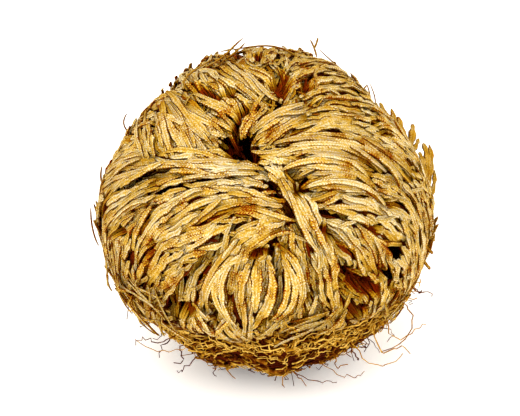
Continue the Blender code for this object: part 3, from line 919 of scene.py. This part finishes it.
def patchAt(way, patches, edge):
    # the sum of each patch's value, full inside it and nothing past its edge
    right, up, out = faceOf(way)
    total = np.zeros(way.shape[:-1])
    for midRight, midUp, halfRight, halfUp, turn, value in patches:
        c, s = math.cos(math.radians(turn)), math.sin(math.radians(turn))
        aside, above = right - midRight, up - midUp
        apart = np.hypot((aside * c + above * s) / halfRight, (above * c - aside * s) / halfUp)
        total = total + value * smooth((1 + edge - apart) / (2 * edge)) * (out > 0)
    return total


def fingerProfile(at):
    # a slim foot, an even body and a tip that narrows
    foot = 0.60 + 0.40 * smooth(at / 0.25)
    return foot * np.clip(1 - (np.clip(at - 0.72, 0, 1) / 0.30) ** 2, 0.06, 1.0) ** 0.55


def spreadWidth(share, widest):
    # half the width that the branchlets cover: the blade's, and more than its stalk's
    opened = 0.50 * widest * smooth(share / 0.20) * (share < 0.5)
    return 1000 * np.maximum(halfWidth(share, widest), opened)


def upperStrands(length, widest, rng):
    # columns of paths (strands, rings, 2) along and across the frond
    at = spray["at"]
    sideCount = max(2, round(widest * 1000 / spray["strandGap"]))
    ratio = np.arange(-sideCount, sideCount + 1) / sideCount
    rows = int(length / spray["pitch"][0]) + 2
    pitch = rng.uniform(*spray["pitch"], (len(ratio), rows))
    start = np.cumsum(pitch, axis=1) - pitch[:, :1] + rng.uniform(*spray["shift"], (len(ratio), 1))
    reach = (pitch + rng.uniform(*spray["overlap"], pitch.shape)).ravel()
    start = np.maximum(start.ravel(), 0.05 * length)
    reach = np.minimum(reach, length + 1.6 - start)
    ratio = np.repeat(ratio, rows)
    gap = spreadWidth(np.clip((start + reach / 2) / length, 0, 1), widest) / sideCount
    room = gap / spray["crowded"] + 0.07
    kept = (reach > spray["shortest"]) & (rng.uniform(0, 1, len(start)) < room)
    start, reach, ratio = start[kept], reach[kept], ratio[kept]
    place = start[:, None] + reach[:, None] * at
    wide = spreadWidth(np.clip(place / length, 0, 1), widest)
    foot, more = spray["fan"]
    aside = ratio[:, None] * wide * (foot + more * at)
    turns = rng.uniform(0, 6, 2)
    aside = aside + spray["wave"] * np.sin(place * 0.33 + ratio[:, None] * 1.5 + turns[0])
    aside = aside + spray["wave"] * 0.6 * np.sin(place * 0.71 - ratio[:, None] * 3 + turns[1])
    count = (len(start), 1)
    bend = rng.normal(0, 0.38, count) * 4 * at * (1 - at) + rng.normal(0, 0.30, count)
    bend = bend + reach[:, None] * np.radians(rng.normal(0, spray["stray"], count)) * (at - 0.5)
    return np.stack([place, aside + bend], axis=-1)


def underStrands(length, widest, rng):
    at = spray["shortAt"]
    rows = np.arange(0.08 * length, length - 2.0, spray["underRow"])
    places = np.arange(-8, 9) * spray["underGap"]
    along, across = np.meshgrid(rows, places, indexing="ij")
    along = along + rng.uniform(-0.5, 0.5, along.shape) * spray["underRow"]
    across = across + rng.normal(0, 0.5, across.shape)
    kept = np.abs(across) < spreadWidth(along / length, widest)
    along, across = along[kept], across[kept]
    reach = rng.uniform(*spray["underLengths"], len(along))
    start = np.maximum(along - reach / 2, 0.05 * length)
    reach = np.minimum(reach, length - start)
    slant = np.tan(np.radians(rng.normal(0, spray["underStray"], len(along))))[:, None]
    place = start[:, None] + reach[:, None] * at
    aside = across[:, None] + slant * reach[:, None] * (at - 0.5)
    limit = spreadWidth(np.clip(place / length, 0, 1), widest)
    return np.stack([place, np.clip(aside, -limit, limit)], axis=-1)


def forkStrands(paths, rng):
    # side branchlets that leave their branchlet on either side and turn back along it
    parents = rng.permutation(len(paths))[: int(spray["forks"] * len(paths))]
    forked = paths[parents]
    count = len(forked)
    where = rng.integers(2, 8, count)
    start = forked[np.arange(count), where]
    step = forked[np.arange(count), where + 1] - start
    own = np.arctan2(step[:, 1], step[:, 0])
    hand = np.where(rng.uniform(0, 1, count) < 0.5, -1.0, 1.0)
    first = own + hand * np.radians(spray["forkLean"] + rng.normal(0, 6, count))
    last = own + hand * np.radians(8 + rng.normal(0, 7, count))
    path = flowPath(start, first, last, rng.uniform(*spray["forkLengths"], count), spray["shortAt"])
    return path, parents, spray["at"][where]


def riseOf(way, depth, covers):
    # a frond springs up where no other lies over it: the nearer its cover, the less
    if depth == 0 or not len(covers):
        return np.zeros(way.shape[:-1])
    nearest = np.clip((way.reshape(-1, 3) @ covers.T).max(1), -1, 1).reshape(way.shape[:-1])
    gap = np.arccos(nearest) * ball["radius"] * 1000
    return spray["rise"] * depth * ball["layerPitch"] * smooth((gap - 1.0) / 3.4)


def strandValues(lift, below, tint, age):
    # painted shade: how far a place is painted as out of the dark; down in the clefts, and down in the
    # heart of the ball, it is painted as in shade
    cleftShade = smooth((lift + 1.60) / 1.45)
    heartShade = 1 - smooth((below - 2.2) / 6.0)
    return {"depth": np.clip(cleftShade * heartShade, 0, 1), "tint": tint, "age": np.clip(age, 0, 1)}


def fingerGroup(frond, path, lift, at, sides, size, tint, covers, rng):
    # flat tapering tubes along paths in a frond's plane, at a lift above its blade
    name, midrib, widest, depth = frond
    radius = ball["radius"]
    height = radius - ball["bladeThickness"] / 2 - depth * ball["layerPitch"]
    path = path + rng.normal(0, 0.13, path.shape) * [0, 1]
    way = frondWay(midrib, path[..., 0] / 1000 / radius, path[..., 1] / 1000 / radius)
    lift = lift - patchAt(way, gaps, 0.35) + rng.normal(0, 0.05, lift.shape)
    up = height + riseOf(way, depth, covers)
    centres = ballPoint(way, up + lift / 1000)
    count = len(path)
    teeth = np.where(np.arange(len(at)) % 2, 1.0, -1.0) * spray["serration"]
    profile = fingerProfile(at) * (1 + teeth + rng.normal(0, 0.15, lift.shape)) * size / 1000
    halfWide = rng.uniform(*spray["halfWide"], (count, 1)) * profile
    halfThick = rng.uniform(*spray["halfThick"], (count, 1)) * profile
    roll = np.broadcast_to(rng.normal(0, 0.24, (count, 1)), halfWide.shape)
    points, along = tubes(centres, way, halfWide, halfThick, sides, roll)
    low = smooth((-4 - elevationOf(way)) / 36)
    age = low * 0.55 + 0.40 * name.startswith("old") + rng.normal(-0.06, 0.13, (count, 1))
    tint = tint + patchAt(way, tones, 0.8)
    along = along + rng.uniform(0, 0.01, (count, 1))
    return strandGroup(points, along, **strandValues(lift, (radius - up) * 1000 - lift, tint, age))


def ribGroup(frond, length, covers):
    # the midrib itself, stout at its foot and out of sight under the branchlets
    name, midrib, _, depth = frond
    radius = ball["radius"]
    at = np.linspace(0, 1, 22)[None, :]
    way = frondWay(midrib, at * length / 1000 / radius, np.zeros_like(at))
    lift = -0.25 - 0.75 * smooth(at / 0.35) - patchAt(way, gaps, 0.35)
    up = radius - ball["bladeThickness"] / 2 - depth * ball["layerPitch"] + riseOf(way, depth, covers)
    wide = (1.10 - 0.55 * at) / 1000 * np.where(at > 0.985, 0.35, 1.0)
    centres = ballPoint(way, up + lift / 1000)
    points, along = tubes(centres, way, wide, wide * 0.7, 6, np.zeros_like(wide))
    age = smooth((2 - elevationOf(way)) / 36) * 0.75 + 0.35 * name.startswith("old")
    return strandGroup(points, along, **strandValues(lift, (radius - up) * 1000 - lift, 0.5, age))


def faceGroup(route, wide, sides, holes, rng):
    # branchlets along places to the right, up and down into the dented ball: how far each is
    # towards the viewer is found in turns, from its height
    right, up, sunk = np.moveaxis(route, -1, 0) / 1000
    reach = np.full(right.shape, ball["radius"])
    for _ in range(7):
        out = np.sqrt(np.maximum(reach**2 - right**2 - up**2, 1e-6))
        place = facePoint(np.stack([right, up, out], -1) * 1000) - ball["centre"]
        way = unit(place / ball["shape"])
        height = ball["radius"] - dipOf(way) - sunk
        reach = height * np.linalg.norm(way * ball["shape"], axis=-1)
    sunk = sunk + patchAt(way, holes, 0.35) / 1000
    centres = ball["centre"] + way * (ball["radius"] - dipOf(way) - sunk)[..., None] * ball["shape"]
    teeth = np.where(np.arange(right.shape[1]) % 2, 1.0, -1.0) * spray["serration"]
    wide = wide * (1 + teeth + rng.normal(0, 0.12, wide.shape)) / 1000
    roll = np.broadcast_to(rng.normal(0, 0.24, (len(wide), 1)), wide.shape)
    points, along = tubes(centres, way, wide, np.minimum(wide * 0.66, 0.00045), sides, roll)
    # painted shade: the deeper a branchlet is sunk, the lower its depth value and the darker it is
    # painted
    depth = np.clip(0.86 - sunk * 1000 / 1.5, 0.02, 1)
    tint = rng.uniform(0.1, 0.9, (len(wide), 1)) + patchAt(way, tones, 0.8)
    age = np.clip(rng.normal(0.05, 0.14, (len(wide), 1)), 0, 1)
    along = along + rng.uniform(0, 0.01, (len(wide), 1))
    return strandGroup(points, along, depth=depth, tint=tint, age=age)


def bundleGroup(name, count, spread, wide, places, rng):
    # branchlets side by side, each over its own share of the bundle's way
    count = round(count * spray["bundled"])
    jitter = rng.normal(0, 0.22 + 0.45 * spread, (count, len(places), 3))
    places = places + jitter * [1, 1, 0.5]
    places = places + rng.normal(0, spread, (count, 1, 3)) * [1, 1, 0.25]
    first, last = rng.uniform(0.0, 0.34, (count, 1)), rng.uniform(0.70, 1.0, (count, 1))
    route = smoothRoute(places, first + (last - first) * spray["at"])
    wide = wide * rng.uniform(0.8, 1.25, (count, 1)) * fingerProfile(spray["at"])
    holes = gaps[2:] if name == spray["mouthOwner"] else gaps
    return faceGroup(route, wide, 6, holes, rng)


def curlGroup(rng):
    # short branchlets that bend round as flowPath says
    count = curls["count"]
    start = np.stack([rng.uniform(*curls["right"], count), rng.uniform(*curls["up"], count)], -1)
    start = start[np.hypot(*start.T) < curls["edge"]]
    count = len(start)
    first = rng.uniform(-math.pi, math.pi, count)
    bend = rng.uniform(*curls["bend"], count) * np.where(rng.uniform(0, 1, count) < 0.5, -1.0, 1.0)
    lengths = rng.uniform(*curls["lengths"], count)
    path = flowPath(start, first, first + bend, lengths, spray["shortAt"])
    sunk = rng.uniform(*curls["lifts"], (count, 1)) + np.zeros(path.shape[:2])
    wide = rng.uniform(*curls["halfWide"], (count, 1)) * fingerProfile(spray["shortAt"])
    return faceGroup(np.concatenate([path, sunk[..., None]], -1), wide, 5, gaps, rng)


def twigGroup(wide, places):
    at = spray["at"]
    centres = facePoint(smoothRoute(places, at))[None]
    feather = wide > 0.48  # those are flat and knobbly, and turn to the viewer
    outward = unit(centres - ball["centre"])
    teeth = 1.0
    if feather:
        outward = unit(outward * 0.5 + faceOut)
        teeth = 1.0 + 0.30 * np.sin(np.arange(len(at)) * 2.1 + wide * 40)
    wide = wide * (fingerProfile(at) * teeth)[None] / 1000
    points, along = tubes(centres, outward, wide, wide * 0.7, 6, np.zeros_like(wide))
    seen, age = (0.74, 0.30) if feather else (0.60, 0.35)
    mottled = 0.16 * np.sin(np.arange(len(at)) * 1.7 + places[0][0])
    return strandGroup(points, along, depth=seen + mottled, tint=0.5, age=age)


def frondGroups(frond, covers, rng, sparse):
    name, midrib, widest, depth = frond
    length = np.linalg.norm(midrib[1] - midrib[0]) * (len(midrib) - 1) * ball["radius"] * 1000
    foot, tip = spray["slope"]

    widest = widest * spray["slim"].get(name, 1.0)
    upper = upperStrands(length, widest, rng)
    if sparse:
        upper = upper[rng.uniform(0, 1, len(upper)) < 0.8]
    base = rng.uniform(*spray["lifts"], (len(upper), 1))
    lift = base + foot + (tip - foot) * spray["at"] ** 0.7
    curled = rng.uniform(0, 1, base.shape) < spray["curled"]
    curl = np.where(curled, rng.uniform(*spray["curl"], base.shape), 0.0)
    lift = lift + curl * spray["at"] ** 3
    tint = rng.uniform(0.10, 0.90, base.shape)
    groups = [fingerGroup(frond, upper, lift, spray["at"], 6, 1.0, tint, covers, rng)]

    at = spray["shortAt"]
    forks, parents, where = forkStrands(upper, rng)
    lift = base[parents] + foot + (tip - foot) * (where**0.7)[:, None] - 0.12 + 0.28 * at
    groups.append(fingerGroup(frond, forks, lift, at, 5, 0.82, tint[parents], covers, rng))

    if not sparse:
        under = underStrands(length, widest, rng)
        lift = rng.uniform(*spray["underLifts"], (len(under), 1)) + 0.3 * at
        tint = rng.uniform(0.2, 0.6, (len(under), 1))
        groups.append(fingerGroup(frond, under, lift, at, 5, 0.95, tint, covers, rng))
    groups.append(ribGroup(frond, length, covers))
    for owner, count, spread, wide, sunk, ways in bundles:
        for way in ways if owner == name else []:
            groups.append(bundleGroup(name, count, spread, wide, np.column_stack([way, sunk]), rng))
    groups += [twigGroup(*row) for row in twigs.get(name, [])]
    if name == curls["owner"]:
        groups.append(curlGroup(rng))
    return groups


def makeFronds():
    straw = branchletMaterial("strawBranchlets", strawLook)
    oldStraw = branchletMaterial("oldStrawBranchlets", oldStrawLook)
    fronds = allFronds()
    feet = [footprint(midrib, widest)[::3] for _, midrib, widest, _ in fronds]
    for number, (name, midrib, widest, depth) in enumerate(fronds):
        rng = np.random.default_rng(100 + number)
        sparse = "middle" in name or "inner" in name
        old = name.startswith("old")
        over = [foot for foot, frond in zip(feet, fronds) if frond[3] < depth]
        covers = np.concatenate(over) if over else []
        groups = frondGroups(fronds[number], covers, rng, sparse)
        piece = addStrands(name + "_branchlets", groups, oldStraw if old else straw)
        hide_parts(name)
    print("fronds done")


# The root mat: a thin bowl painted dark as the shade among the fibres, and a tangle of fibres over it
# and over its rim.
mat = {
    "fibres": 1700,
    "fibreHalfWide": 0.155,
    "rimFibres": 2500,
    "stubs": 260,
    "stubHalfWide": 0.42,
    "lengths": (3, 9),
    "stubLengths": (5, 12),
    "bowlShadeTone": 0.12,
    "rings": np.linspace(0, 1, 7),
    "flatEdge": 75.8,  # degrees below the ball's middle where the flat spot ends
}


def poleWay(angle, turn):
    # the way at an angle from the root pole and a turn round it
    east = unit(np.cross(rootWay, np.array([0.0, 1.0, 0.0])))
    north = np.cross(east, rootWay)
    flat = np.cos(turn)[..., None] * east + np.sin(turn)[..., None] * north
    return np.cos(angle)[..., None] * rootWay + np.sin(angle)[..., None] * flat


def matPoint(way, height):
    point = ball["centre"] + way * height[..., None] * ball["shape"]
    point[..., 2] = np.maximum(point[..., 2], 0.00065)
    return point


def matHeight(way):
    # the mat's outside: lumpy, thinner at the back left and at its rim, and over the rim it
    # comes down on the fronds
    bearing = bearingOf(way)
    turn = np.radians(bearing)
    above = elevationOf(way) - matRim(bearing)
    share = (elevationOf(way) + mat["flatEdge"]) / (matRim(bearing) + mat["flatEdge"])
    lumps = 0.0005 * np.sin(turn * 7) + 0.0004 * np.sin(turn * 11 + 1)
    lumps = lumps - 0.0010 * (1 - np.cos(turn - math.radians(55)))
    height = ball["radius"] - 0.0006 - 0.0013 * smooth((share - 0.4) / 0.6) + lumps
    down = smooth(above / 9)
    return height * (1 - down) + (ball["radius"] - 0.6 * tuckOf(above) - 0.0002) * down


def fibreGroup(way, halfWide, off, rng):
    # thin tubes along their ways, at a height off the mat in millimetres
    count = len(way)
    at = mat["rings"]
    off = off + 0.25 * np.sin(at * 9 + rng.uniform(0, 6, (count, 1)))
    centres = matPoint(way, matHeight(way) - dipOf(way) + off / 1000)
    taper = np.where(at > 0.97, 0.35, 1.0) * (1 - 0.35 * at)
    wide = halfWide / 1000 * rng.uniform(0.6, 1.4, (count, 1)) * taper
    points, along = tubes(centres, way, wide, wide, 4, np.zeros_like(wide))
    tint = rng.uniform(0, 1, (count, 1))
    # painted shade: the lower a fibre lies, the smaller its depth value and the darker its colour
    return strandGroup(points, along, depth=np.clip(0.52 + off * 0.55, 0, 1), tint=tint)


def wander(angle0, turn0, heading0, lengths, rng):
    # ways that start at an angle and turn round the root pole, with a heading that drifts
    count = len(angle0)
    at = mat["rings"]
    length = rng.uniform(*lengths, count) / 1000
    heading = heading0[:, None] + rng.normal(0, 1.2, (count, 1)) * at
    turns = at * rng.uniform(4, 14, (count, 1))
    heading = heading + 0.9 * np.sin(turns + rng.uniform(0, 6, (count, 1)))
    heading = heading + rng.normal(0, 0.42, heading.shape)
    step = length[:, None] / (len(at) - 1) / ball["radius"]
    angle = angle0[:, None] + np.cumsum(np.cos(heading) * step, 1)
    turn = turn0[:, None] + np.cumsum(np.sin(heading) * step / np.sin(np.maximum(angle, 0.12)), 1)
    return poleWay(angle, turn)


def liftsOf(lift, count, rng):
    # mostly low, so that the low ones, painted darker as shade, show as dark gaps between the few high
    # ones
    return lift[0] + (lift[1] - lift[0]) * rng.uniform(0, 1, (count, 1)) ** 1.7


def matFibres(count, lengths, halfWide, lift, rng):
    # anywhere on the mat, running mostly outwards; those that go too far past its rim are left out
    angle0 = np.radians(54) * np.sqrt(rng.uniform(0.01, 1, count))
    turn0 = rng.uniform(-math.pi, math.pi, count)
    way = wander(angle0, turn0, rng.normal(0, 1.0, count), lengths, rng)
    above = (elevationOf(way) - matRim(bearingOf(way))).max(1)
    way = way[above < rng.normal(0.0, 3.0, count)]
    return fibreGroup(way, halfWide, liftsOf(lift, len(way), rng), rng)


def rimFibres(count, lengths, halfWide, lift, rng):
    # a loose tangle along the rim, some of it up between the feet of the fronds
    bearing = rng.uniform(-180, 180, count)
    foot = wayOf(bearing, matRim(bearing) + rng.uniform(-12, 7, count))
    angle0 = np.arccos(np.clip(foot @ rootWay, -1, 1))
    east = unit(np.cross(rootWay, np.array([0.0, 1.0, 0.0])))
    turn0 = np.arctan2(foot @ np.cross(east, rootWay), foot @ east)
    side = np.where(rng.uniform(0, 1, count) < 0.5, -1.0, 1.0)
    way = wander(angle0, turn0, side * rng.uniform(0.5, 2.0, count), lengths, rng)
    above = (elevationOf(way) - matRim(bearingOf(way))).max(1)
    turn = np.radians(bearing)
    # they reach higher in some places than in others
    limit = 6 + 4.0 * np.sin(turn * 8 + 1) + 3.5 * np.sin(turn * 19)
    way = way[above < rng.normal(limit, 4.0)]
    return fibreGroup(way, halfWide, liftsOf(lift, len(way), rng), rng)


def bowlGroup():
    # a closed thin shell, one ring for each row: up its outside, then down its inside
    turns, rows = 60, 11
    bearing = np.linspace(-180, 180, turns, endpoint=False) * np.ones((rows, 1))
    share = np.linspace(0, 1, rows)[:, None]
    elevation = -88.0 + share * (matRim(bearing) - 7.0 + 88.0)
    way = wayOf(bearing, elevation)
    outer = matPoint(way, matHeight(way) - 0.0010)
    inner = matPoint(way, np.full(way.shape[:2], ball["radius"] - ball["matThickness"] + 0.0004))
    inner[..., 2] = np.maximum(inner[..., 2], 0.0012)
    shell = np.concatenate([outer, inner[::-1]])[None]
    along = np.linspace(0, 0.1, shell.shape[1])[None]
    # painted shade: the bowl's low tone paints it the near-black of the shade among the fibres
    return strandGroup(shell, along, depth=mat["bowlShadeTone"], tint=mat["bowlShadeTone"])


# Loose root hairs that stand out from the mat, in millimetres as the viewer sees them: to the
# right, up and towards the viewer from the ball's centre.
hairs = {
    "halfWide": 0.16,
    "kinks": 0.28,
    "rings": np.linspace(0, 1, 12),
    "routes": [
        [(27.0, -22.5, 10.0), (29.5, -29.0, 10.5), (33.5, -27.6, 9.0), (36.6, -25.6, 8.0)],
        [(30.0, -19.5, 9.0), (32.9, -23.4, 9.0), (32.6, -28.0, 9.5), (26.0, -32.0, 9.0)],
        [(19.5, -28.0, 12.0), (22.5, -33.6, 9.0), (26.8, -35.0, 7.0), (32.0, -32.2, 7.0)],
        [(24.0, -26.0, 12.0), (27.0, -31.8, 9.0), (30.5, -31.0, 7.0), (33.0, -33.0, 6.0)],
        [(32.0, -16.0, 8.0), (34.6, -18.0, 8.0), (36.2, -18.2, 7.0), (38.2, -19.4, 6.0)],
        [(-14.0, -29.0, 12.0), (-19.5, -31.6, 9.0), (-25.0, -31.4, 7.0), (-29.4, -29.2, 6.0)],
        [(-12.0, -31.0, 11.0), (-16.5, -34.0, 8.0), (-18.6, -36.2, 6.0), (-20.4, -36.4, 5.0)],
        [(-19.0, -27.0, 12.0), (-24.0, -29.8, 9.0), (-27.5, -28.8, 8.0), (-29.6, -30.8, 7.0)],
        [(4.0, -35.0, 11.0), (9.5, -38.3, 4.0), (13.5, -38.9, 3.5), (16.6, -39.4, 3.5)],
        [(12.0, -34.0, 11.0), (17.5, -37.4, 5.0), (20.8, -38.0, 4.0), (22.6, -36.6, 4.0)],
    ],
    "loose": 70,
    "looseTurns": (-158, -22),  # round the picture, from its right
    "looseFoot": 35.0,
    "looseOut": (-10, 11),
    "looseLengths": (2.0, 6.0),
    "looseBend": 0.22,
    "tones": (0.30, 0.65),
}


def hairGroup(rng):
    at = hairs["rings"]
    routes = [*hairs["routes"]]
    for _ in range(hairs["loose"]):
        # from near the mat's outline, outwards and down to the ground
        turn, reach = math.radians(rng.uniform(*hairs["looseTurns"])), hairs["looseFoot"]
        out = rng.uniform(*hairs["looseOut"])
        foot = np.array([math.cos(turn) * reach, math.sin(turn) * reach, out])
        turn += rng.normal(0, 0.55)
        ahead = np.array([math.cos(turn), math.sin(turn), rng.normal(0, 0.3)])
        length = rng.uniform(*hairs["looseLengths"])
        steps = np.array([0.0, 0.35, 0.7, 1.0])[:, None] * length
        bend = rng.normal(0, hairs["looseBend"], (4, 3)) * np.array([0.0, 0.5, 1.0, 1.4])[:, None]
        routes.append(foot + ahead * steps + bend * length)
    route = smoothRoute(routes, at)
    centres = facePoint(route + rng.normal(0, hairs["kinks"], route.shape) * [1, 1, 0.3])
    outward = unit(centres - ball["centre"])
    count = len(centres)
    wide = hairs["halfWide"] / 1000 * rng.uniform(0.8, 1.3, (count, 1)) * (1 - 0.4 * at)
    points, along = tubes(centres, outward, wide, wide, 4, np.zeros_like(wide))
    seen = rng.uniform(*hairs["tones"], (count, 1))
    return strandGroup(points, along, depth=seen, tint=seen)


def makeRootMat():
    roots = rootMaterial("rootFibres", rootLook)
    rng = np.random.default_rng(7)
    groups = [
        matFibres(mat["fibres"], mat["lengths"], mat["fibreHalfWide"], (-0.9, 0.6), rng),
        rimFibres(mat["rimFibres"], mat["lengths"], mat["fibreHalfWide"], (-0.9, 1.1), rng),
        matFibres(mat["stubs"], mat["stubLengths"], mat["stubHalfWide"], (-0.8, 0.1), rng),
        bowlGroup(),
        hairGroup(rng),
    ]
    piece = addStrands("root_fibres", groups, roots)
    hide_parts("root_mat")
    print("root mat done")


# The crown keeps its solid's shape.
barkLook = {
    "dark": (0.030, 0.012, 0.005),
    "light": (0.200, 0.095, 0.035),
    "roughness": 0.9,
    "specular": 0.5,
}


def finishCrown():
    material, shader, wire = newMaterial("crownBark")
    noise = wire.noise(420.0, 4.0)
    base = noise.ramp([(0.3, barkLook["dark"]), (0.7, barkLook["light"])])
    finishMaterial(shader, base, barkLook, 0.7, 0.0004, noise)
    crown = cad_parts["crown"]
    crown.data.materials.clear()
    crown.data.materials.append(material)
    print("crown done")


def makeStudio():
    side = studio["floorHalf"]
    corners = [(-side, -side, 0), (side, -side, 0), (side, side, 0), (-side, side, 0)]
    mesh = bpy.data.meshes.new("floor")
    mesh.from_pydata(corners, [], [(0, 1, 2, 3)])
    floor = bpy.data.objects.new("floor", mesh)
    bpy.context.scene.collection.objects.link(floor)
    material, shader, _ = newMaterial("paleFloor")
    shader.inputs["Base Color"].default_value = colour(studio["floor"])
    shader.inputs["Roughness"].default_value = studio["floorRoughness"]
    shader.inputs["Emission Color"].default_value = colour(studio["floor"])
    shader.inputs["Emission Strength"].default_value = studio["floorGlow"]
    mesh.materials.append(material)
    floor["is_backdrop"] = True

    world = bpy.data.worlds.new("studio")
    world.use_nodes = True
    sky = world.node_tree.nodes["Background"].inputs
    sky["Color"].default_value = colour(studio["world"])
    sky["Strength"].default_value = studio["worldStrength"]
    bpy.context.scene.world = world
    middle = ball["centre"]
    for i, (place, size, power) in enumerate(studio["lamps"]):
        light = bpy.data.lights.new(f"softLamp{i + 1}", "AREA")
        light.shape = "DISK"
        light.size = size
        light.energy = power
        lamp = bpy.data.objects.new(f"softLamp{i + 1}", light)
        bpy.context.scene.collection.objects.link(lamp)
        lamp.location = place
        aim(lamp, middle)
    data = bpy.data.cameras.new("camera")
    data.lens = studio["lens"]
    data.sensor_width = 36.0
    data.clip_start = 0.01
    camera = bpy.data.objects.new("camera", data)
    bpy.context.scene.collection.objects.link(camera)
    target = middle + np.array([studio["aside"], 0, 0]) + faceUp * studio["raise"]
    camera.location = target + faceOut * studio["distance"]
    aim(camera, target)
    bpy.context.scene.camera = camera
    bpy.context.scene.view_settings.view_transform = "Standard"
    print("studio done")


def aim(thing, point):
    # turns its -Z axis to the point, with +Y up
    way = Vector([float(c) for c in point]) - thing.location
    thing.rotation_euler = way.to_track_quat("-Z", "Y").to_euler()


makeFronds()
makeRootMat()
finishCrown()
makeStudio()
boxes = {"cad": cadBox, "visual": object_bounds()}
for key, box in boxes.items():
    boxes[key] = [[float(c) for c in corner] for corner in box]
